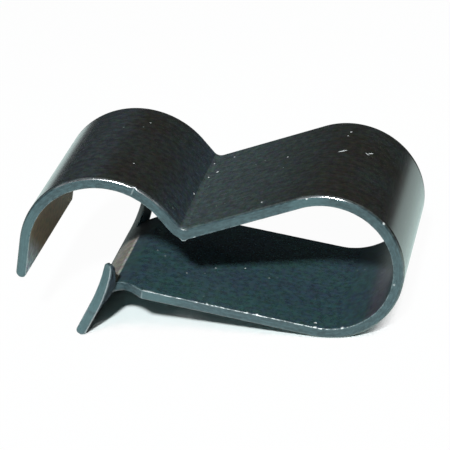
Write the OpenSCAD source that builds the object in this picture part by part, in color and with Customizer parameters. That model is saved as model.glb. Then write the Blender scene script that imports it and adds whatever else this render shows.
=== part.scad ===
// Wire clip folded from one strip of spring steel: hook, vee, round end loop, leg, lip and two corner barbs.
// Units are mm. X runs along the clip with the loop at +X, Y across the strip, Z up.
// The clip stands on its lip and its loop, and the origin is the middle of its footprint on the ground.

/* [Strip] */
// width of the strip
strip_width = 12.7; // [8:0.1:20]
// thickness of the sheet
strip_thickness = 0.76; // [0.5:0.02:1]
// how far the sheet draws in on each face where it is bent or rounded
bend_draw = 0.01; // [0.006:0.002:0.02]

/* [End loop] */
// inner radius of the round loop at the closed end
loop_radius = 4.7; // [4:0.1:6]
// slope of the upper arm, falling away from the loop, degrees
upper_slope = 16.2; // [12:0.2:20]
// straight length of the upper arm
upper_length = 8.1; // [7:0.1:10]

/* [Vee] */
// radius on the hollow side of the vee
vee_radius = 0.6; // [0.4:0.05:1]
// slope of the ramp from the vee up to the hook, degrees
ramp_slope = 54.5; // [48:0.5:60]
// straight length of the ramp
ramp_length = 1.3; // [1:0.1:2.5]

/* [Hook] */
// inner radius of the hook
hook_radius = 5.3; // [4.5:0.1:6]
// angle that the hook bends through, degrees
hook_wrap = 131; // [115:1:136]
// straight length of the hook's free end
tip_length = 2.65; // [1:0.05:3]

/* [Leg] */
// slope of the leg, rising away from the loop, degrees
leg_slope = 13; // [11:0.5:16]
// straight length of the leg
leg_length = 12.6; // [12:0.05:14]

/* [Lip] */
// inner radius of the bend from the leg down to the lip
lip_radius = 2.9; // [2:0.1:3.2]
// slope of the lip, degrees from level
lip_slope = 58; // [52:1:66]

/* [Corner barbs] */
// depth of the notch that frees each barb, where its slanted start ends
notch_depth = 1.05; // [0.8:0.05:1.6]
// length of the notch along the straight leg, before the bend down to the lip
notch_lead = 0.25; // [0.1:0.05:0.6]
// level length over which the notch deepens from the strip's side
notch_run = 1.55; // [1:0.05:2]
// depth of the notch at the top of the lip
notch_root = 1.9; // [1.7:0.05:2.4]
// gap between a barb's root and the leg's bend beside it
slit_gap = 0.1; // [0.06:0.01:0.2]
// width of a barb at its top
barb_tip = 0.2; // [0.15:0.05:0.6]
// angle by which a barb stands steeper than the lip, degrees
barb_lean = 15; // [10:1:18]
// inner radius of a barb's bend
barb_radius = 13; // [10:0.5:18]
// straight length of a barb above its bend
barb_length = 0.15; // [0.1:0.05:1]

/* [Hidden] */
$fn = 96;
steel_colour = [0.13, 0.16, 0.17];
half = strip_thickness / 2;
bent_thickness = strip_thickness - 2 * bend_draw;
// how far a bend runs on inside the flats beside it
lap = 0.03;
cut_margin = 1;
wedge_steps = 8;

// radius of a bend at the middle of the sheet
function middle(radius) = radius + bent_thickness / 2;

// height of the loop's centre, with the loop's underside on the ground
loop_height = loop_radius + bent_thickness;

// height of the lip's upper end, and the lip's length from there to its rounded foot on the ground
end_radius = bent_thickness / 2;
leg_end_height = loop_height - middle(loop_radius) * cos(leg_slope) + leg_length * sin(leg_slope);
lip_top_height = leg_end_height + middle(lip_radius) * (cos(lip_slope) - cos(leg_slope));
lip_length = (lip_top_height - end_radius) / sin(lip_slope);

// distance from the loop's centre to the notch's start at the strip's side and to the top of the lip
notch_start = middle(loop_radius) * sin(leg_slope) + (leg_length - notch_lead) * cos(leg_slope);
lip_top = notch_start + notch_lead * cos(leg_slope)
  + middle(lip_radius) * (sin(leg_slope) + sin(lip_slope));

// width of a barb at its root, and its height above the top of the lip
barb_root = notch_root - slit_gap;
barb_slope = lip_slope + barb_lean;
barb_height = middle(barb_radius) * (cos(lip_slope) - cos(barb_slope))
  + barb_length * sin(barb_slope) + end_radius;

// distance from the loop's centre to the hook's far edge, step by step along the sheet
vee_start = middle(loop_radius) * sin(upper_slope) + upper_length * cos(upper_slope);
vee_end = vee_start + middle(vee_radius) * (sin(upper_slope) + sin(ramp_slope));
hook_centre = vee_end + ramp_length * cos(ramp_slope) + middle(hook_radius) * sin(ramp_slope);
tip_slope = hook_wrap - ramp_slope;
tip_end = hook_centre + middle(hook_radius) * sin(tip_slope) + tip_length * cos(tip_slope);
hook_reach = tip_end + end_radius;
loop_offset = (hook_reach - loop_height) / 2;

// sector of the bent sheet about the origin, running on into the flats at both ends
module bent_sector(radius, start, turn) {
  outer = radius + bent_thickness;
  spare = lap / middle(radius) * 180 / PI;
  step = (turn + 2 * spare) / wedge_steps;
  intersection() {
    difference() {
      circle(outer);
      circle(radius);
    }
    polygon([[0, 0], for (i = [0:wedge_steps])
      2 * outer * [cos(start - spare + i * step), sin(start - spare + i * step)]]);
  }
}

// flat length along the local X axis, and what follows it
module flat(length) {
  translate([0, -half])
    square([length, strip_thickness]);
  translate([length, 0])
    children();
}

// rounded free end of the sheet
module round_end() {
  circle(end_radius);
}

// place at the end of a bend to the left of the local X axis
module past_left(radius, turn) {
  translate([0, middle(radius)])
    rotate(turn)
      translate([0, -middle(radius)])
        children();
}

// bend to the left of the local X axis, and what follows it
module bend_left(radius, turn) {
  translate([0, middle(radius)])
    bent_sector(radius, -90, turn);
  past_left(radius, turn)
    children();
}

// bend to the right of the local X axis, and what follows it
module bend_right(radius, turn) {
  mirror([0, 1])
    bend_left(radius, turn)
      mirror([0, 1])
        children();
}

// place where the leg leaves the loop, with the local X axis along the leg
module at_leg() {
  rotate(-90 - leg_slope)
    translate([middle(loop_radius), 0])
      rotate(-90)
        children();
}

// place where the lip leaves the leg's bend, with the local X axis down the lip
module at_lip() {
  at_leg()
    translate([leg_length, 0])
      past_left(lip_radius, lip_slope + leg_slope)
        children();
}

// outline of the loop, the leg with its bend down to the lip, and the upper arm with its vee and hook
module main_outline() {
  bent_sector(loop_radius, -90 - leg_slope, 180 + upper_slope + leg_slope);
  at_leg()
    flat(leg_length)
      bend_left(lip_radius, lip_slope + leg_slope);
  rotate(90 + upper_slope)
    translate([middle(loop_radius), 0])
      rotate(90)
        flat(upper_length)
          bend_right(vee_radius, upper_slope + ramp_slope)
            flat(ramp_length)
              bend_left(hook_radius, hook_wrap)
                flat(tip_length)
                  round_end();
}

// outline of the lip
module lip_outline() {
  at_lip()
    flat(lip_length)
      round_end();
}

// outline of a barb, which stands up from the top of the lip
module barb_outline() {
  at_lip()
    rotate(180)
      bend_left(barb_radius, barb_lean)
        flat(barb_length)
          round_end();
}

// outline drawn out to a width, about a place across the strip
module across(width, place) {
  translate([0, 0, place])
    linear_extrude(height = width, center = true)
      children();
}

// space of the notch on one side, upright from the ground to above the leg
module notch(side) {
  edge = strip_width / 2;
  outside = edge + cut_margin;
  deepest = edge - notch_root;
  translate([0, -loop_height, 0])
    rotate([-90, 0, 0])
      linear_extrude(height = leg_end_height + cut_margin)
        polygon([
          [cut_margin * notch_run / notch_depth - notch_start, side * outside],
          [-notch_start - notch_run, side * (edge - notch_depth)],
          [-lip_top, side * deepest],
          [-lip_top - cut_margin, side * deepest],
          [-lip_top - cut_margin, side * outside]
        ]);
}

// barb on one side, narrowing to its top
module barb(side) {
  edge = strip_width / 2;
  low = lip_top_height - loop_height;
  top = low + barb_height;
  intersection() {
    across(barb_root, side * (edge - barb_root / 2))
      barb_outline();
    rotate([0, -90, 0])
      linear_extrude(height = hook_reach)
        polygon([
          [side * (edge - barb_root), low - cut_margin],
          [side * (edge + cut_margin), low - cut_margin],
          [side * (edge + cut_margin), top],
          [side * (edge - barb_tip), top],
          [side * (edge - barb_root), low]
        ]);
  }
}

// folded strip, with its outline in the local XY plane and its width along the local Z axis
module folded_strip() {
  difference() {
    across(strip_width, 0)
      main_outline();
    notch(-1);
    notch(1);
  }
  across(strip_width, 0)
    lip_outline();
  barb(-1);
  barb(1);
}

module spring_clip() {
  color(steel_colour)
    translate([loop_offset, 0, loop_height])
      rotate([90, 0, 0])
        folded_strip();
}

spring_clip();
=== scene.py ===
"""Wire clip: one strip of dark spring steel, folded into a hook, a vee, a loop, a leg and a barbed lip."""

import math

import bpy
from mathutils import Matrix, Vector, kdtree, noise


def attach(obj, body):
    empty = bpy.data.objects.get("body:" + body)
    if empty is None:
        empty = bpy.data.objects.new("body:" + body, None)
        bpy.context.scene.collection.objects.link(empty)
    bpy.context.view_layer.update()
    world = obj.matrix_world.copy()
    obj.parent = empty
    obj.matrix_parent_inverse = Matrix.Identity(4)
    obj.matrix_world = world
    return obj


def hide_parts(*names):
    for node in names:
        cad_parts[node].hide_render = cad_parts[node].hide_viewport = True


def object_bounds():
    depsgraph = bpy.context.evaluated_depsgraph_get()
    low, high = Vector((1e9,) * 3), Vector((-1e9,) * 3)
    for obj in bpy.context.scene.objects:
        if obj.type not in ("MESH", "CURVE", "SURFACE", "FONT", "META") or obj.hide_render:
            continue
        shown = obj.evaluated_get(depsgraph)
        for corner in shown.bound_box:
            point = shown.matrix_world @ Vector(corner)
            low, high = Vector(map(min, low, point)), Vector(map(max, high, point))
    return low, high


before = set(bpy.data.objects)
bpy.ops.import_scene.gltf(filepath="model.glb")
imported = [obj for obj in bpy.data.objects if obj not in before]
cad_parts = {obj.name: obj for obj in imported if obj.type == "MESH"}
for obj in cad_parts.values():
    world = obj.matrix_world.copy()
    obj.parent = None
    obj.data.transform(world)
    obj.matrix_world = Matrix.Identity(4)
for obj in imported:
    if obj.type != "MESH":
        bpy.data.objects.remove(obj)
cad_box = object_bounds()

MM = 0.001

# Strip and bends in millimetres and degrees, as in the part's source
STRIP_WIDTH = 12.7
STRIP_THICKNESS = 0.76
BENT_THICKNESS = 0.74
LOOP_RADIUS = 4.7
UPPER_SLOPE = 16.2
UPPER_LENGTH = 8.1
VEE_RADIUS = 0.6
RAMP_SLOPE = 54.5
RAMP_LENGTH = 1.3
HOOK_RADIUS = 5.3
HOOK_WRAP = 131.0
TIP_LENGTH = 2.65
LEG_SLOPE = 13.0
LEG_LENGTH = 12.6
LIP_RADIUS = 2.9
LIP_SLOPE = 58.0
NOTCH_DEPTH = 1.05
NOTCH_LEAD = 0.25
NOTCH_RUN = 1.55
NOTCH_ROOT = 1.9
SLIT_GAP = 0.1
BARB_ROOT = NOTCH_ROOT - SLIT_GAP
BARB_TIP = 0.2
BARB_LEAN = 15.0
BARB_RADIUS = 13.0
BARB_LENGTH = 0.15

# Twist of a barb at its top in degrees, and the power by which it grows with the height
BARB_TWIST = 40.0
TWIST_GROWTH = 0.7

# Rounded free ends and corners
NOSE_RADIUS = BENT_THICKNESS / 2
NOSE_FLAT = 0.06
CORNER_RADIUS = 0.12
BARB_CORNER = 0.15

# Edges, rolled over on the outer face and sharp on the inner one, with the most that they may take of
# the sheet's half thickness and width, and the limit that keeps sharp corners from running out too far
ROLLED_EDGE = 0.20
SHARP_EDGE = 0.05
EDGE_SHARE = 0.8
WIDTH_SHARE = 0.35
MITRE_LIMIT = 0.3

# Roughness of the sheared rim, with the scales of its noise along the strip and in its depth,
# and a nick and a burr on the front rim
RIM_ROUGHNESS = 0.02
RIM_NOISE = (2.0, 3.0)
NICK_PLACE = 13.45
NICK_WIDTH = 0.12
NICK_DEPTH = 0.07
NICK_TOOTH = 0.12
BURR_PLACE = 18.05
BURR_WIDTH = 0.16
BURR_DEPTH = 0.22

# Mesh density, with a finer step to find the loop's lowest point and the slack where two runs meet
ROW_STEP = 0.13
FINE_STEP = 0.01
RUN_SLACK = 1e-9
NOSE_ROWS = 7
EDGE_GAPS = (0.2, 0.45, 0.8, 1.3, 2.0, 3.0, 4.2, 5.3)
BARB_COLUMNS = 4
ARC_ROWS = 5
FACE_ROWS = 5

# Camera, measured from the photograph
IMAGE_WIDTH = 450
FOCAL_PIXELS = 2086.5
SENSOR_WIDTH = 36.0
CAMERA_AZIMUTH = 13.786
CAMERA_ELEVATION = 25.108
CAMERA_ROLL = -5.812
CAMERA_DISTANCE = 149.673
CAMERA_TARGET = (0.1249, 0.113, 5.6085)
CLIP_START = 0.01

# Lights: directions as azimuth from the front and elevation, in degrees
KEY_DIRECTION = (4.5, 42.5)
KEY_ENERGY = 4.1
KEY_SPREAD = 5.0
TOP_DIRECTION = (180.0, 75.0)
TOP_DISTANCE = 0.7
TOP_SIZE = 0.8
TOP_POWER = 0.75
FILL_DIRECTION = (-8.0, 8.0)
FILL_ENERGY = 0.35
FILL_SPREAD = 20.0
FILL_COLOUR = (0.35, 0.90, 1.00)
AMBIENT = (0.018, 0.022, 0.024, 1)

# Floor in metres, with a painted pool of light: white at the clip and dark far from it. Its shadow reaches so
# many millimetres from the clip, and fades out between two shares of open sky.
FLOOR_SIZE = 3.0
FLOOR_WHITE = (0.88, 0.98, 0.98, 1)
FLOOR_FAR = (0.10, 0.10, 0.10, 1)
FLOOR_LIGHT_POOL = (0.0, 0.14)
FLOOR_GLOW = 0.97
CONTACT_REACH = 6.0
CONTACT_SKY = (0.24, 0.34)
CONTACT_SAMPLES = 16

# White of the floor as the camera and the metal see it, and the place under the hook that the metal sees dim
SEEN_WHITE = (1.0, 1.0, 1.0, 1)
MIRRORED_WHITE = (0.80, 1.00, 0.96, 1)
MIRROR_CENTRE = (-0.008, 0.0, 0.0)
MIRROR_CLEAR = (0.011, 0.017)

# Noise over the steel: scales along, across and in depth for each millimetre, then detail and roughness
CLOUDS = ((0.22, 0.3, 5.0), 4.0, 0.5)
MOTTLE = ((2.2, 2.2, 7.0), 6.0, 0.72)
GRAIN = ((0.4, 5.0, 3.0), 3.0, 0.5)
TINTS = ((2.5, 2.5, 4.0), 5.0, 0.7)
STREAKS = ((3.0, 1.8, 3.0), 6.0, 0.75)
RIM_LINES = ((0.12, 0.12, 5.0), 2.0, 0.5)
RIM_DOTS = ((5.0, 0.3, 0.5), 3.0, 0.5)

# Values of the noise between which it acts, and from where to where it changes the colour, with its share
CLOUD_BAND = (0.35, 0.65)
FACE_BAND = (0.3, 0.7)
MOTTLE_SWING = (0.4, 1.6)
MOTTLE_SHARE = 0.55
GRAIN_SWING = (0.5, 1.5)
GRAIN_SHARE = 0.2
TINT_SHARE = 0.65
SHEAR_BAND = (0.33, 0.67)
LINE_SWING = (0.6, 1.4)
LINE_SHARE = 0.4
DOT_BAND = (0.48, 0.58)

# Places on the steel are millimetres along the strip from the hook's tip, with the barbs counted on from the
# lip, millimetres across it from its middle, and depth from -1 on the inner face to 1 on the outer one.
# A zone says where it starts, is full, begins to fall and ends, and a pair where a fade starts and ends.
OUTER_SIDE = (-0.3, 0.3)

# Outer face
OUTSIDE_BROWN = (0.0220, 0.0215, 0.0180, 1)
OUTSIDE_TEAL = (0.0230, 0.0275, 0.0260, 1)
OUTSIDE_HOOK = (0.0340, 0.0420, 0.0450, 1)
OUTSIDE_RAMP = (0.0340, 0.0480, 0.0570, 1)
OUTSIDE_ARM = (0.0520, 0.0710, 0.0730, 1)
# Painted sheen: the loop's right end is made paler, adding to the floor's reflection there
PAINTED_END_SHEEN = (0.130, 0.160, 0.150, 1)
# Painted shade: the barbs' outer faces, turned away from the light, are made darker
BARB_PAINTED_SHADE = (0.003, 0.016, 0.026, 1)
HOOK_SIDE = (5.0, 6.5, 10.0, 12.0)
VEE_CREASE = (17.4, 17.55)
RAMP_LEAD = 2.0
ARM_TRAIL = 3.0
# Run of the painted sheen on the loop's right end
END_SHEEN_RUN = (34.2, 36.0, 41.0, 43.0)
BARB_LEAD = 0.2

# Inner face, turning brown between two shares of the way to the hook's end, with a painted reflection as a
# slanted pale end at the hook's tip, and with a painted highlight on the front of the leg's bend and painted
# shadow behind it
INSIDE_TEAL = (0.026, 0.062, 0.066, 1)
INSIDE_BLUE = (0.028, 0.054, 0.070, 1)
INSIDE_BROWN = (0.180, 0.108, 0.040, 1)
# Painted reflection: pale slanted end of the hook's tip
TIP_REFLECTION = (0.480, 0.550, 0.580, 1)
INSIDE_PURPLE = (0.055, 0.056, 0.072, 1)
# Painted highlight: a pale band and a brighter line on the front of the leg's bend
BEND_HIGHLIGHT = (0.190, 0.180, 0.155, 1)
BEND_GLINT = (0.330, 0.340, 0.310, 1)
# Painted shadow: near black behind the leg's bend and on the rear barb's rim
PAINTED_REAR_SHADOW = (0.004, 0.005, 0.007, 1)
HOOK_BROWN = (0.8, 0.4)
TIP_SLANT = 1.3
TIP_FRONT = (-1.0, -4.6)
LOOP_PURPLE = (38.0, 39.2, 40.2, 41.8)
# Runs of the painted highlight band and line on the leg's bend, and how far across the lit front reaches
BEND_HIGHLIGHT_RUN = (59.45, 59.65, 60.9, 61.6)
BEND_GLINT_RUN = (59.45, 59.55, 59.65, 59.75)
BEND_LIT_FRONT = (3.2, 2.0)
# Run and reach across of the painted shadow behind the leg's bend
REAR_SHADOW_RUN = (58.6, 59.6)
REAR_SHADE = (1.6, 3.0)

# Sheared rim, with its worn inner crest, painted glints dotted along the leg and the bare steel on its outer
# edge
RIM_DARK = (0.018, 0.035, 0.041, 1)
RIM_PALE = (0.049, 0.090, 0.101, 1)
RIM_BRIGHT = (0.066, 0.130, 0.138, 1)
PALE_RIM = (
    (-2.0, -1.0, 4.0, 7.0), (25.5, 26.5, 27.6, 29.0), (54.0, 56.0, 57.3, 57.5), (61.7, 62.2, 70.0, 71.0),
)
PALE_SHARE = 0.5
# Painted shadow on the rear barb's rim, from the strip's middle backwards
REAR_RIM_SHADOW = (0.0, 1.0)
CREST_DEPTH = (-0.75, -0.88)
CREST_BAND = (0.42, 0.58)
CREST_SHARE = 0.35
# Painted glints: pale dots along the leg's inner front edge, and their share
LEG_GLINT_RUN = (41.5, 43.0, 57.0, 57.5)
LEG_GLINT_SHARE = 0.6
BARE_STEEL = (0.56, 0.58, 0.60, 1)
BARE_DEPTH = (0.66, 0.73, 0.84, 0.90)
BARE_BAND = (0.35, 0.5)
BARE_SWING = (0.4, 1.0)
RUBBED_RUNS = (
    ((7.5, 9.0, 14.5, 16.0), 1.0), ((26.4, 27.2, 29.2, 30.0), 1.0), ((60.0, 60.5, 70.0, 71.0), 0.6),
)

# Specks all over, with cells for each millimetre, and wear beside the edges
SPECK = (0.30, 0.36, 0.36, 1)
SPECK_CELLS = (1.6, 1.6, 9.0)
SPECK_CHANCE = 0.12
SPECK_RADIUS = 0.13
SPECK_CORE = 0.4
SPECK_SHARE = 0.5
WORN = (0.30, 0.34, 0.34, 1)
WORN_GAP = (0.12, 0.02)
WORN_BAND = (0.4, 0.6)
WORN_SHARE = 0.12

# Marks are soft spots, with the shares of their size between which they fade and their usual half depth
# Pale colour of the scratches and dots, also used for the painted glints
SCRATCH_AND_GLINT = (0.70, 0.75, 0.75, 1)
SPOT_EDGE = (1.2, 0.5)
SPOT_DEPTH = 0.5

# Scratches: place, half length, half width and turn in degrees
SCRATCHES = (
    ((28.5, 1.2, 1), 0.36, 0.08, 40.0),
    ((30.1, 1.6, 1), 0.17, 0.06, -35.0),
    ((30.3, 1.9, 1), 0.26, 0.06, 50.0),
)

# Dots on the faces: along, across and radius
OUTSIDE_DOTS = (
    (24.4, 2.0, 0.07), (19.6, 5.1, 0.07), (18.7, 3.0, 0.12), (18.0, 2.2, 0.09), (17.3, -1.1, 0.10),
    (17.9, 4.6, 0.07), (12.6, -3.0, 0.06), (12.2, 3.9, 0.06), (28.6, 4.6, 0.08), (28.5, 3.9, 0.06),
    (23.8, -5.2, 0.09),
)
INSIDE_DOTS = (
    (45.1, -5.7, 0.11), (55.0, -2.6, 0.05), (53.2, -1.0, 0.06), (57.0, -0.8, 0.05), (57.7, -0.2, 0.05),
    (49.3, -0.8, 0.05), (51.2, -0.1, 0.06),
)

# Bright marks on the front rim, most of them painted glints on its edges, with pale lines at the nick and the
# burr:
# along, depth, half length, half depth and strength, and their reach across
RIM_GLINTS_AND_MARKS = (
    (10.66, 0.80, 0.08, 0.12, 1.0), (13.40, 0.10, 0.06, 0.80, 0.2), (18.05, -0.98, 0.20, 0.12, 0.5),
    (18.70, -0.90, 0.12, 0.10, 0.5), (27.20, 0.60, 0.09, 0.16, 0.9), (32.60, 0.90, 0.10, 0.14, 0.8),
    (37.26, -0.55, 0.10, 0.22, 0.35), (42.97, -0.95, 0.12, 0.12, 1.0), (45.03, -0.95, 0.14, 0.12, 1.0),
    (49.17, -0.95, 0.12, 0.12, 1.0), (49.87, -0.95, 0.08, 0.10, 0.7), (52.75, -0.95, 0.08, 0.10, 0.7),
    (56.90, -0.95, 0.60, 0.08, 0.35), (57.40, 0.10, 0.06, 0.80, 0.15),
)
RIM_GLINT_AND_MARK_REACH = 0.2

# Gloss: roughness of the faces and the rim, of the runs that are duller, and of the burnished edges
OXIDE_IOR = 1.65
FACE_ROUGHNESS = (0.13, 0.19)
INSIDE_DULLER = 0.12
DULL_OUTSIDE = (((31.0, 32.5, 36.0, 38.0), 0.20),)
DULL_INSIDE = (
    ((-2.0, -1.0, 5.5, 8.0), 0.65), ((37.0, 38.5, 42.5, 44.5), 0.45), ((58.0, 59.0, 70.0, 71.0), 0.52),
)
DULL_RIM = 0.45
BURNISHED = -0.20
BURNISHED_DEPTH = (0.60, 0.72)
UNBURNISHED_VEE = (16.9, 17.3, 18.4, 18.8)
BUMP_DEPTH = 0.002
BUMP_STRENGTH = 0.3
GRAIN_HEIGHT = 0.3


def bend_middle(radius):
    """Radius of a bend at the middle of the sheet."""
    return radius + BENT_THICKNESS / 2


class Path:
    """Middle line of the sheet in side view, made of straight and round runs."""

    def __init__(self, x, z, heading):
        self.runs = []
        self.length = 0.0
        self.end = (x, z, math.radians(heading))

    def run(self, length, turn=0.0):
        """Adds a run of that length, which turns by so many degrees to the left."""
        bend = math.radians(turn) / length
        self.runs.append((self.length, self.end, bend))
        self.length += length
        self.end = self.at(self.length)
        return self.length

    def bend(self, radius, turn):
        """Adds a bend of that inner radius."""
        return self.run(bend_middle(radius) * math.radians(abs(turn)), turn)

    def at(self, distance):
        """Place and heading at that distance along the line: x, z, angle."""
        start, (x, z, heading), bend = [r for r in self.runs if r[0] <= distance + RUN_SLACK][-1]
        along = distance - start
        if bend == 0.0:
            return x + along * math.cos(heading), z + along * math.sin(heading), heading
        turned = heading + along * bend
        return (
            x + (math.sin(turned) - math.sin(heading)) / bend,
            z - (math.cos(turned) - math.cos(heading)) / bend,
            turned,
        )


def even(start, end, step):
    """Distances from start up to, but without, the end."""
    count = max(1, math.ceil((end - start) / step))
    return [start + (end - start) * i / count for i in range(count)]


def nose():
    """Distances from a free end, crowded towards it, up to but without the full radius."""
    return [NOSE_RADIUS * (1 - math.cos(math.pi / 2 * i / NOSE_ROWS)) for i in range(NOSE_ROWS)]


def rounding(gap, radius):
    """Share of the full height that a rounded end reaches at that distance from it."""
    rest = 1 - min(gap / radius, 1.0)
    return math.sqrt(1 - rest * rest)


class Sheet:
    """Points on the middle of the sheet and the quads between them."""

    def __init__(self):
        self.points = []
        self.quads = []

    def row(self, path, distance, columns, end_gap, mark, facing=1, skew=0.0):
        """Adds one row of points across the sheet and returns their numbers."""
        x, z, heading = path.at(distance)
        half = STRIP_THICKNESS / 2
        half = NOSE_FLAT / 2 + (half - NOSE_FLAT / 2) * rounding(end_gap, NOSE_RADIUS)
        room = min(EDGE_SHARE * half, WIDTH_SHARE * (columns[-1] - columns[0]))
        first = len(self.points)
        for y in columns:
            lean = math.copysign(skew, -y) * math.sin(heading)
            normal = Vector((-math.sin(heading), lean, math.cos(heading))).normalized() * facing
            inset = math.copysign(normal.y * half, y)
            place = Vector((x + skew * (STRIP_WIDTH / 2 - abs(y)), y - inset, z))
            self.points.append((place, normal, half, Vector((mark, y, 0.0)), room))
        return list(range(first, len(self.points)))

    def fill(self, rows):
        """Adds the quads between rows with as many points each."""
        for low, high in zip(rows, rows[1:]):
            for i in range(len(low) - 1):
                self.quads.append((low[i], high[i], high[i + 1], low[i + 1]))

    def rim(self):
        """Numbers of the points around the sheet's outline, in order."""
        edges = {(q[i], q[(i + 1) % 4]) for q in self.quads for i in range(4)}
        follow = {a: b for a, b in edges if (b, a) not in edges}
        loop = [min(follow)]
        while follow[loop[-1]] != loop[0]:
            loop.append(follow[loop[-1]])
        return loop


def spread(half_width):
    """Places across the strip for a half width, with narrow gaps beside its edges."""
    full = STRIP_WIDTH / 2
    gaps = [0.0, *EDGE_GAPS]
    side = [half_width * (1 - g / full) for g in gaps]
    return [-y for y in side] + [0.0] + side[::-1]


def strip_path():
    """Middle line of the strip in side view, and where its runs end, the barbs counted on from the lip."""
    path = Path(0.0, 0.0, HOOK_WRAP - RAMP_SLOPE)
    ends = {
        "tip": path.run(NOSE_RADIUS + TIP_LENGTH),
        "hook": path.bend(HOOK_RADIUS, -HOOK_WRAP),
        "ramp": path.run(RAMP_LENGTH),
        "vee": path.bend(VEE_RADIUS, RAMP_SLOPE + UPPER_SLOPE),
        "arm": path.run(UPPER_LENGTH),
        "loop": path.bend(LOOP_RADIUS, -180 - UPPER_SLOPE - LEG_SLOPE),
        "leg": path.run(LEG_LENGTH),
        "bend": path.bend(LIP_RADIUS, LIP_SLOPE + LEG_SLOPE),
    }
    loop_bottom = min(path.at(d)[1] for d in even(ends["arm"], ends["leg"], FINE_STEP)) - BENT_THICKNESS / 2
    drop = path.end[1] - loop_bottom - NOSE_RADIUS
    ends["lip"] = path.run(drop / math.sin(math.radians(LIP_SLOPE)) + NOSE_RADIUS)
    barb_bend = bend_middle(BARB_RADIUS) * math.radians(BARB_LEAN)
    ends["barb"] = ends["lip"] + barb_bend + BARB_LENGTH + NOSE_RADIUS
    return path, ends


def plain_width(gap):
    """Half of the strip's width at that distance from a free end, whose corners are rounded."""
    return STRIP_WIDTH / 2 - CORNER_RADIUS * (1 - rounding(gap, CORNER_RADIUS))


def notch_depth(into, reach):
    """Depth of a barb's notch at a level distance from its start, out of its whole reach."""
    if into < NOTCH_RUN:
        return NOTCH_DEPTH * into / NOTCH_RUN
    return NOTCH_DEPTH + (NOTCH_ROOT - NOTCH_DEPTH) * (into - NOTCH_RUN) / (reach - NOTCH_RUN)


def barb_rows(sheet, path, ends, columns, side):
    """Rows of the barb on one side, from its top down to the top of the lip."""
    x, z, heading = path.at(ends["bend"])
    barb = Path(x, z, math.degrees(heading) + 180)
    barb.bend(BARB_RADIUS, BARB_LEAN)
    barb_end = barb.run(BARB_LENGTH + NOSE_RADIUS)
    barb_height = barb.end[1] - z
    half = STRIP_WIDTH / 2
    rows = []
    for d in nose() + even(NOSE_RADIUS, barb_end, ROW_STEP):
        risen = (barb.at(barb_end - d)[1] - z) / barb_height
        width = BARB_ROOT + (BARB_TIP - BARB_ROOT) * risen
        corner = BARB_CORNER * (1 - rounding(d, BARB_CORNER))
        shrink = (width - 2 * corner) / BARB_ROOT
        places = sorted(side * (half - corner - (half - y) * shrink) for y in columns)
        skew = math.tan(math.radians(BARB_TWIST * max(risen, 0.0) ** TWIST_GROWTH))
        rows.append(sheet.row(barb, barb_end - d, places, d, ends["barb"] - d, facing=-1, skew=skew))
    return rows


def fold_sheet(path, ends):
    """The folded sheet's middle, from the hook's tip to the lip and the barbs."""
    sheet = Sheet()
    lip_top, lip_end = ends["bend"], ends["lip"]
    half = STRIP_WIDTH / 2
    notch_start = ends["leg"] - NOTCH_LEAD
    notch_x = path.at(notch_start)[0]
    notch_reach = notch_x - path.at(lip_top)[0]

    rows = []
    for d in nose() + even(NOSE_RADIUS, notch_start, ROW_STEP):
        rows.append(sheet.row(path, d, spread(plain_width(d)), d, d))
    for d in even(notch_start, lip_top, ROW_STEP):
        depth = notch_depth(notch_x - path.at(d)[0], notch_reach)
        rows.append(sheet.row(path, d, spread(half - depth), lip_end - d, d))

    barb_columns = [half - BARB_ROOT * (1 - i / BARB_COLUMNS) for i in range(BARB_COLUMNS + 1)]
    lip_columns = [-y for y in barb_columns[::-1]] + spread(half - NOTCH_ROOT) + barb_columns
    foot = [lip_end - g for g in nose()[::-1]]
    lip_rows = []
    for d in even(lip_top, lip_end - NOSE_RADIUS, ROW_STEP) + [lip_end - NOSE_RADIUS] + foot:
        width = plain_width(lip_end - d) / half
        lip_rows.append(sheet.row(path, d, [y * width for y in lip_columns], lip_end - d, d))
    sheet.fill(lip_rows)

    top = lip_rows[0]
    root = BARB_COLUMNS + 1
    sheet.fill(rows + [top[root:-root]])
    for side, root_row in ((-1, top[:root]), (1, top[-root:])):
        sheet.fill(barb_rows(sheet, path, ends, barb_columns, side) + [root_row])
    return sheet


def rounded_edge(half, radius):
    """Quarter round from a face to the rim: how far out, how high and how much of the rim each point is."""
    turns = [math.pi / 2 * (k + 1) / ARC_ROWS for k in range(ARC_ROWS)]
    return [(radius * (math.sin(a) - 1), half - radius * (1 - math.cos(a)), math.sin(a) ** 2) for a in turns]


def rim_flaws(mark, depth):
    """Shift of a rim point, outwards and along the sheet's normal: rough shearing, the nick and the burr."""
    along_scale, depth_scale = RIM_NOISE
    shear = noise.noise(Vector((along_scale * mark.x, mark.y, depth_scale * depth)))
    rough = RIM_ROUGHNESS * (1 - depth) / 2 * shear
    if mark.y > 0:
        return rough, 0.0
    nick = math.exp(-(((mark.x - NICK_PLACE) / NICK_WIDTH) ** 2))
    burr = math.exp(-(((mark.x - BURR_PLACE) / BURR_WIDTH) ** 2))
    tooth = NICK_TOOTH * nick * max(depth, 0.0)
    return rough - NICK_DEPTH * nick, tooth - BURR_DEPTH * burr * max(-depth, 0.0)


def outward_at_rim(sheet, loop):
    """Direction out of the sheet at each point of its outline, longer at corners to keep the rim's width."""
    outward = {}
    for before, here, after in zip(loop[-1:] + loop[:-1], loop, loop[1:] + loop[:1]):
        normal = sheet.points[here][1]
        a = (sheet.points[here][0] - sheet.points[before][0]).cross(normal).normalized()
        b = (sheet.points[after][0] - sheet.points[here][0]).cross(normal).normalized()
        outward[here] = (a + b) / max(1 + a.dot(b), MITRE_LIMIT)
    return outward


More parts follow.
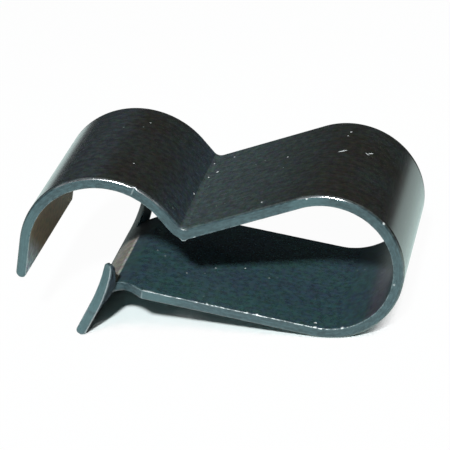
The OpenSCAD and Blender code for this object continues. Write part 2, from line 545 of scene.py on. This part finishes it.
def thicken(sheet):
    """Closed mesh around the sheet, with rounded edges: vertices, faces and the values of each vertex."""
    loop = sheet.rim()
    outward = outward_at_rim(sheet, loop)
    edge_points = kdtree.KDTree(len(loop))
    for i, p in enumerate(loop):
        edge_points.insert(sheet.points[p][0], i)
    edge_points.balance()

    verts, marks, faces = [], [], []

    def add(place, mark, depth, edge_gap, rim):
        verts.append(place)
        marks.append((mark, depth, edge_gap, rim))
        return len(verts) - 1

    shells = []
    for side, edge_radius in ((1, ROLLED_EDGE), (-1, SHARP_EDGE)):
        shell = []
        for i, (place, normal, half, mark, room) in enumerate(sheet.points):
            inset = outward[i] * -min(edge_radius, room) if i in outward else Vector()
            gap = 0.0 if i in outward else edge_points.find(place)[2]
            shell.append(add(place + inset + normal * half * side, mark, side, gap, 0.0))
        shells.append(shell)
    for q in sheet.quads:
        faces.append(tuple(shells[0][i] for i in q))
        faces.append(tuple(shells[1][i] for i in reversed(q)))

    strips = []
    for i in loop:
        place, normal, half, mark, room = sheet.points[i]
        rolled, sharp = (rounded_edge(half, min(radius, room)) for radius in (ROLLED_EDGE, SHARP_EDGE))
        top, bottom = rolled[-1][1], -sharp[-1][1]
        face = [(0.0, top + (bottom - top) * k / FACE_ROWS, 1.0) for k in range(1, FACE_ROWS)]
        strip = [shells[0][i]]
        for out, height, rim in rolled + face + [(o, -h, r) for o, h, r in reversed(sharp)]:
            dent, sag = rim_flaws(mark, height / half)
            shifted = place + outward[i] * (out + dent) + normal * (height + sag)
            strip.append(add(shifted, mark, height / half, 0.0, rim))
        strips.append(strip + [shells[1][i]])
    for low, high in zip(strips, strips[1:] + strips[:1]):
        for k in range(len(low) - 1):
            faces.append((low[k], low[k + 1], high[k + 1], high[k]))
    return verts, faces, marks


def build_clip(path, ends):
    """The clip's mesh in the CAD's place, with values along and across the strip for its material."""
    verts, faces, marks = thicken(fold_sheet(path, ends))
    low = Vector([min(v[k] for v in verts) for k in range(3)])
    shift = Vector(cad_box[0]) / MM - low
    shift.y = 0.0
    mesh = bpy.data.meshes.new("spring_clip_dressed")
    mesh.from_pydata([(v + shift) * MM for v in verts], [], faces)
    for name, kind in (("strip_place", "FLOAT_VECTOR"), ("edge_gap", "FLOAT"), ("rim", "FLOAT")):
        mesh.attributes.new(name, kind, "POINT")
    for i, (mark, depth, gap, rim) in enumerate(marks):
        mesh.attributes["strip_place"].data[i].vector = (mark.x, mark.y, depth)
        mesh.attributes["edge_gap"].data[i].value = gap
        mesh.attributes["rim"].data[i].value = rim
    mesh.shade_smooth()
    clip = bpy.data.objects.new("spring_clip_dressed", mesh)
    bpy.context.scene.collection.objects.link(clip)
    clip.modifiers.new("even_shading", "WEIGHTED_NORMAL")
    return clip


class Graph:
    """Short ways to make and link shader nodes."""

    def __init__(self, tree):
        self.tree = tree

    def node(self, kind, **settings):
        node = self.tree.nodes.new(kind)
        for name, value in settings.items():
            setattr(node, name, value)
        return node

    def put(self, socket, value):
        """Links an output to the socket, or sets the socket's own value."""
        if isinstance(value, bpy.types.NodeSocket):
            self.tree.links.new(value, socket)
        else:
            socket.default_value = value

    def math(self, operation, *values):
        node = self.node("ShaderNodeMath", operation=operation)
        for socket, value in zip(node.inputs, values):
            self.put(socket, value)
        return node.outputs[0]

    def product(self, first, *others):
        """All the values multiplied together."""
        for other in others:
            first = self.math("MULTIPLY", first, other)
        return first

    def rest(self, value):
        """What the value leaves of one."""
        return self.math("SUBTRACT", 1.0, value)

    def fade(self, value, start, end, low=0.0, high=1.0):
        """Smooth change from low to high, as the value goes from start to end."""
        node = self.node("ShaderNodeMapRange", interpolation_type="SMOOTHSTEP")
        for socket, setting in zip(node.inputs, (value, start, end, low, high)):
            self.put(socket, setting)
        return node.outputs[0]

    def zone(self, value, start, full, fall, end):
        """One between full and fall, fading out to start and to end."""
        return self.product(self.fade(value, start, full), self.fade(value, end, fall))

    def blend(self, share, under, over, kind="MIX"):
        node = self.node("ShaderNodeMix", data_type="RGBA", blend_type=kind)
        colours = [i for i in node.inputs if i.type == "RGBA"]
        for socket, value in zip([node.inputs[0]] + colours, (share, under, over)):
            self.put(socket, value)
        return [o for o in node.outputs if o.type == "RGBA"][0]

    def attribute(self, name, output):
        return self.node("ShaderNodeAttribute", attribute_name=name).outputs[output]

    def parts(self, vector):
        node = self.node("ShaderNodeSeparateXYZ")
        self.put(node.inputs[0], vector)
        return node.outputs

    def stretch(self, vector, scales):
        node = self.node("ShaderNodeVectorMath", operation="MULTIPLY")
        self.put(node.inputs[0], vector)
        node.inputs[1].default_value = scales
        return node.outputs[0]

    def distance(self, vector, centre):
        node = self.node("ShaderNodeVectorMath", operation="DISTANCE")
        self.put(node.inputs[0], vector)
        node.inputs[1].default_value = centre
        return node.outputs["Value"]

    def noise(self, vector, scales, detail, roughness, output="Fac"):
        node = self.node("ShaderNodeTexNoise")
        self.put(node.inputs["Vector"], self.stretch(vector, scales))
        node.inputs["Scale"].default_value = 1.0
        node.inputs["Detail"].default_value = detail
        node.inputs["Roughness"].default_value = roughness
        return node.outputs[output]

    def spot(self, vector, centre, half_length, half_width, half_depth=SPOT_DEPTH, turn=0.0):
        """Soft oval spot at a place along, across and in the depth of the strip, turned in degrees."""
        node = self.node("ShaderNodeMapping", vector_type="TEXTURE")
        self.put(node.inputs["Vector"], vector)
        node.inputs["Location"].default_value = centre
        node.inputs["Rotation"].default_value = (0, 0, math.radians(turn))
        node.inputs["Scale"].default_value = (half_length, half_width, half_depth)
        return self.fade(self.distance(node.outputs[0], (0, 0, 0)), *SPOT_EDGE)

    def specks(self, vector, chance, radius):
        """Small round spots in some of the cells, one cell to each unit of length."""
        node = self.node("ShaderNodeTexVoronoi")
        self.put(node.inputs["Vector"], vector)
        node.inputs["Scale"].default_value = 1.0
        picked = self.math("LESS_THAN", self.parts(node.outputs["Color"])[0], chance)
        return self.product(picked, self.fade(node.outputs["Distance"], radius, radius * SPECK_CORE))


class Steel(Graph):
    """Dark oiled oxide on spring steel, paler and duller on the sheared rim, with marks, worn edges and
    painted light and shade.
    """

    def __init__(self, tree, ends):
        super().__init__(tree)
        self.ends = ends
        self.place = self.attribute("strip_place", "Vector")
        self.along, self.across, self.depth = self.parts(self.place)
        self.rim = self.attribute("rim", "Fac")
        self.outer = self.fade(self.depth, *OUTER_SIDE)
        self.barb = self.fade(self.along, ends["lip"], ends["lip"] + BARB_LEAD)
        self.mottle = self.noise(self.place, *MOTTLE)
        self.grain = self.noise(self.place, *GRAIN)
        self.streaks = self.noise(self.place, *STREAKS)
        self.dotted = self.fade(self.noise(self.place, *RIM_DOTS), *DOT_BAND)

    def run(self, zone):
        """Share of a zone along the strip."""
        return self.zone(self.along, *zone)

    def outside(self, clouds):
        """Colour of the outer face, with painted sheen on the loop's right end and painted shade on the
        barbs.
        """
        ramp = (self.ends["hook"] - RAMP_LEAD, self.ends["ramp"], *VEE_CREASE)
        arm = (*VEE_CREASE, self.ends["vee"], self.ends["arm"] + ARM_TRAIL)
        colour = self.blend(clouds, OUTSIDE_BROWN, OUTSIDE_TEAL)
        colour = self.blend(self.run(HOOK_SIDE), colour, OUTSIDE_HOOK)
        colour = self.blend(self.run(ramp), colour, OUTSIDE_RAMP)
        colour = self.blend(self.run(arm), colour, OUTSIDE_ARM)
        # Painted sheen on the loop's right end
        colour = self.blend(self.run(END_SHEEN_RUN), colour, PAINTED_END_SHEEN)
        # Painted shade on the barbs' outer faces
        return self.blend(self.barb, colour, BARB_PAINTED_SHADE)

    def inside(self, clouds):
        """Colour of the inner face, with a painted reflection at the hook's tip, a painted highlight on the
        leg's bend and painted shadow behind it.
        """
        brown = self.fade(self.along, *(share * self.ends["hook"] for share in HOOK_BROWN))
        tip = self.fade(self.math("MULTIPLY_ADD", self.along, TIP_SLANT, self.across), *TIP_FRONT)
        front = self.fade(self.across, *BEND_LIT_FRONT)
        rear_shadow = self.product(self.fade(self.across, *REAR_SHADE), self.fade(self.along, *REAR_SHADOW_RUN))
        colour = self.blend(clouds, INSIDE_TEAL, INSIDE_BLUE)
        colour = self.blend(brown, colour, INSIDE_BROWN)
        # Painted reflection at the hook's tip
        colour = self.blend(tip, colour, TIP_REFLECTION)
        colour = self.blend(self.run(LOOP_PURPLE), colour, INSIDE_PURPLE)
        # Painted highlight: pale band and line on the front of the leg's bend
        colour = self.blend(self.product(front, self.run(BEND_HIGHLIGHT_RUN)), colour, BEND_HIGHLIGHT)
        colour = self.blend(self.product(front, self.run(BEND_GLINT_RUN)), colour, BEND_GLINT)
        # Painted shadow behind the leg's bend
        return self.blend(rear_shadow, colour, PAINTED_REAR_SHADOW)

    def faces(self):
        """Colour of both faces, with blotches, grain and tints."""
        clouds = self.fade(self.noise(self.place, *CLOUDS), *CLOUD_BAND)
        colour = self.blend(self.outer, self.inside(clouds), self.outside(clouds))
        blotches = self.fade(self.mottle, *FACE_BAND, *MOTTLE_SWING)
        colour = self.blend(MOTTLE_SHARE, colour, blotches, "MULTIPLY")
        lines = self.fade(self.grain, *FACE_BAND, *GRAIN_SWING)
        colour = self.blend(GRAIN_SHARE, colour, lines, "MULTIPLY")
        return self.blend(TINT_SHARE, colour, self.noise(self.place, *TINTS, output="Color"), "OVERLAY")

    def sheared(self):
        """Colour of the sheared rim, with its worn inner crest, painted glints along the leg and painted
        shadow on the rear barb's rim.
        """
        colour = self.blend(self.fade(self.streaks, *SHEAR_BAND), RIM_DARK, RIM_PALE)
        lines = self.fade(self.noise(self.place, *RIM_LINES), *CLOUD_BAND, *LINE_SWING)
        colour = self.blend(LINE_SHARE, colour, lines, "MULTIPLY")
        for zone in PALE_RIM:
            colour = self.blend(self.product(self.run(zone), PALE_SHARE), colour, RIM_BRIGHT)
        crest = self.fade(self.depth, *CREST_DEPTH)
        worn = self.product(crest, self.fade(self.streaks, *CREST_BAND, 0.0, CREST_SHARE))
        colour = self.blend(worn, colour, WORN)
        # Painted glints dotted along the leg's inner edge
        leg_glints = self.product(self.run(LEG_GLINT_RUN), crest, self.dotted, LEG_GLINT_SHARE)
        colour = self.blend(leg_glints, colour, SCRATCH_AND_GLINT)
        # Painted shadow on the rear barb's rim
        return self.blend(self.product(self.barb, self.fade(self.across, *REAR_RIM_SHADOW)), colour, PAINTED_REAR_SHADOW)

    def bare(self):
        """Share of bare steel, where the rim's outer edge is rubbed."""
        rubbed = 0.0
        for zone, share in RUBBED_RUNS:
            rubbed = self.math("MULTIPLY_ADD", self.run(zone), share, rubbed)
        patchy = self.fade(self.streaks, *BARE_BAND, *BARE_SWING)
        return self.product(rubbed, self.zone(self.depth, *BARE_DEPTH), patchy)

    def marked(self, colour):
        """The colour with specks, worn edges, scratches, painted glints and pale marks on the front rim and
        dots on the faces.
        """
        specks = self.specks(self.stretch(self.place, SPECK_CELLS), SPECK_CHANCE, SPECK_RADIUS)
        colour = self.blend(self.product(specks, SPECK_SHARE), colour, SPECK)
        near_edge = self.product(self.fade(self.attribute("edge_gap", "Fac"), *WORN_GAP), self.rest(self.rim))
        worn = self.product(near_edge, self.fade(self.streaks, *WORN_BAND), WORN_SHARE)
        colour = self.blend(worn, colour, WORN)
        for centre, half_length, half_width, turn in SCRATCHES:
            scratch = self.spot(self.place, centre, half_length, half_width, turn=turn)
            colour = self.blend(scratch, colour, SCRATCH_AND_GLINT)
        # Painted glints on the front rim's edges, with pale marks at the nick and the burr
        for along, depth, half_length, half_depth, share in RIM_GLINTS_AND_MARKS:
            centre = (along, -STRIP_WIDTH / 2, depth)
            mark = self.spot(self.place, centre, half_length, RIM_GLINT_AND_MARK_REACH, half_depth)
            colour = self.blend(self.product(mark, share), colour, SCRATCH_AND_GLINT)
        for side, dots in ((1, OUTSIDE_DOTS), (-1, INSIDE_DOTS)):
            for along, across, radius in dots:
                dot = self.spot(self.place, (along, across, side), radius, radius)
                colour = self.blend(dot, colour, SCRATCH_AND_GLINT)
        return colour

    def roughness(self):
        """Roughness of the faces and of the rim, which is burnished where it is rounded."""
        inner = self.rest(self.outer)
        face = self.fade(self.mottle, *FACE_BAND, *FACE_ROUGHNESS)
        face = self.math("ADD", face, self.fade(self.outer, 0.0, 1.0, INSIDE_DULLER, 0.0))
        for side, runs in ((self.outer, DULL_OUTSIDE), (inner, DULL_INSIDE)):
            for zone, roughness in runs:
                face = self.math("MAXIMUM", face, self.product(side, self.run(zone), roughness))
        face = self.math("MAXIMUM", face, self.product(self.outer, self.barb))
        rounded = self.fade(self.math("ABSOLUTE", self.depth), *BURNISHED_DEPTH)
        burnish = self.product(rounded, self.math("MAXIMUM", self.outer, self.dotted))
        burnish = self.product(burnish, self.fade(self.run(UNBURNISHED_VEE), 0.0, 1.0, 1.0, 0.0))
        rim = self.math("MULTIPLY_ADD", burnish, BURNISHED, DULL_RIM)
        return self.math("MULTIPLY_ADD", self.rim, self.math("SUBTRACT", rim, face), face)

    def bump(self):
        """Shallow bumps from the blotches and the grain."""
        node = self.node("ShaderNodeBump")
        node.inputs["Strength"].default_value = BUMP_STRENGTH
        node.inputs["Distance"].default_value = BUMP_DEPTH * MM
        self.put(node.inputs["Height"], self.math("MULTIPLY_ADD", self.grain, GRAIN_HEIGHT, self.mottle))
        return node.outputs[0]


def steel_material(ends):
    """Material of the whole clip."""
    material = bpy.data.materials.new("dark_spring_steel")
    material.use_nodes = True
    steel = Steel(material.node_tree, ends)
    bare = steel.bare()
    oxide = steel.blend(steel.rim, steel.faces(), steel.sheared())
    shader = material.node_tree.nodes["Principled BSDF"].inputs
    steel.put(shader["Base Color"], steel.marked(steel.blend(bare, oxide, BARE_STEEL)))
    steel.put(shader["Metallic"], bare)
    steel.put(shader["Roughness"], steel.roughness())
    steel.put(shader["Normal"], steel.bump())
    shader["IOR"].default_value = OXIDE_IOR
    return material


def floor_material():
    """White floor that keeps the clip's shadow close to it and that the metal mirrors near the clip, with a
    painted pool of light.
    """
    material = bpy.data.materials.new("pale_floor")
    material.use_nodes = True
    g = Graph(material.node_tree)
    place = g.node("ShaderNodeTexCoord").outputs["Object"]
    # Painted pool of light: the floor's colour darkens far from the clip
    far = g.fade(g.distance(place, (0, 0, 0)), *FLOOR_LIGHT_POOL)
    paint = material.node_tree.nodes["Principled BSDF"]
    g.put(paint.inputs["Base Color"], g.blend(far, FLOOR_WHITE, FLOOR_FAR))
    paint.inputs["Roughness"].default_value = 1.0
    paint.inputs["Specular IOR Level"].default_value = 0.0

    rays = g.node("ShaderNodeLightPath").outputs
    open_sky = g.node("ShaderNodeAmbientOcclusion", samples=CONTACT_SAMPLES)
    open_sky.inputs["Distance"].default_value = CONTACT_REACH * MM
    lit = g.fade(open_sky.outputs["AO"], *CONTACT_SKY, high=FLOOR_GLOW)
    seen = g.product(rays["Is Camera Ray"], lit)
    beside_hook = g.fade(g.distance(place, MIRROR_CENTRE), *MIRROR_CLEAR)
    mirrored = g.math("ADD", rays["Is Glossy Ray"], rays["Is Transmission Ray"])
    mirrored = g.product(mirrored, beside_hook, g.rest(far))
    glow = g.node("ShaderNodeEmission")
    g.put(glow.inputs["Color"], g.blend(rays["Is Camera Ray"], MIRRORED_WHITE, SEEN_WHITE))
    mix = g.node("ShaderNodeMixShader")
    for socket, value in zip(mix.inputs, (g.math("ADD", seen, mirrored), paint.outputs[0], glow.outputs[0])):
        g.put(socket, value)
    g.put(material.node_tree.nodes["Material Output"].inputs["Surface"], mix.outputs[0])
    return material


def add_floor():
    """Wide level floor under the clip."""
    mesh = bpy.data.meshes.new("floor")
    corners = [(x * FLOOR_SIZE, y * FLOOR_SIZE, 0) for x, y in ((-1, -1), (1, -1), (1, 1), (-1, 1))]
    mesh.from_pydata(corners, [], [(0, 1, 2, 3)])
    mesh.materials.append(floor_material())
    floor = bpy.data.objects.new("floor", mesh)
    bpy.context.scene.collection.objects.link(floor)


def aim(azimuth, elevation):
    """Direction from the clip at that azimuth, counted from the front towards the loop, and elevation."""
    azimuth, elevation = math.radians(azimuth), math.radians(elevation)
    level = math.cos(elevation)
    return Vector((math.sin(azimuth) * level, -math.cos(azimuth) * level, math.sin(elevation)))


def add_camera():
    """Camera in the photograph's place."""
    azimuth, roll = math.radians(CAMERA_AZIMUTH), math.radians(CAMERA_ROLL)
    forward = -aim(CAMERA_AZIMUTH, CAMERA_ELEVATION)
    level = Vector((math.cos(azimuth), math.sin(azimuth), 0.0))
    upright = level.cross(forward)
    right = level * math.cos(roll) + upright * math.sin(roll)
    up = upright * math.cos(roll) - level * math.sin(roll)
    data = bpy.data.cameras.new("camera")
    data.sensor_width = SENSOR_WIDTH
    data.lens = SENSOR_WIDTH * FOCAL_PIXELS / IMAGE_WIDTH
    data.clip_start = CLIP_START
    camera = bpy.data.objects.new("camera", data)
    camera.matrix_world = Matrix((right, up, -forward)).transposed().to_4x4()
    camera.location = (Vector(CAMERA_TARGET) - forward * CAMERA_DISTANCE) * MM
    bpy.context.scene.collection.objects.link(camera)
    bpy.context.scene.camera = camera


def add_lights():
    """Key light from the front, a large soft light above, a cool low fill, and a dim studio around."""
    key = bpy.data.lights.new("key", "SUN")
    key.energy = KEY_ENERGY
    key.angle = math.radians(KEY_SPREAD)
    top = bpy.data.lights.new("top", "AREA")
    top.energy = TOP_POWER
    top.shape = "SQUARE"
    top.size = TOP_SIZE
    fill = bpy.data.lights.new("fill", "SUN")
    fill.energy = FILL_ENERGY
    fill.color = FILL_COLOUR
    fill.angle = math.radians(FILL_SPREAD)
    for data, direction in ((key, KEY_DIRECTION), (top, TOP_DIRECTION), (fill, FILL_DIRECTION)):
        toward = aim(*direction)
        lamp = bpy.data.objects.new(data.name, data)
        lamp.rotation_euler = toward.to_track_quat("Z", "Y").to_euler()
        lamp.location = toward * TOP_DISTANCE
        bpy.context.scene.collection.objects.link(lamp)

    world = bpy.data.worlds.new("studio")
    world.use_nodes = True
    world.node_tree.nodes["Background"].inputs["Color"].default_value = AMBIENT
    bpy.context.scene.world = world


strip, strip_ends = strip_path()
clip = build_clip(strip, strip_ends)
clip.data.materials.append(steel_material(strip_ends))
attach(clip, "root")
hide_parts("spring_clip")
add_floor()
add_camera()
add_lights()
bpy.context.scene.view_settings.view_transform = "Standard"
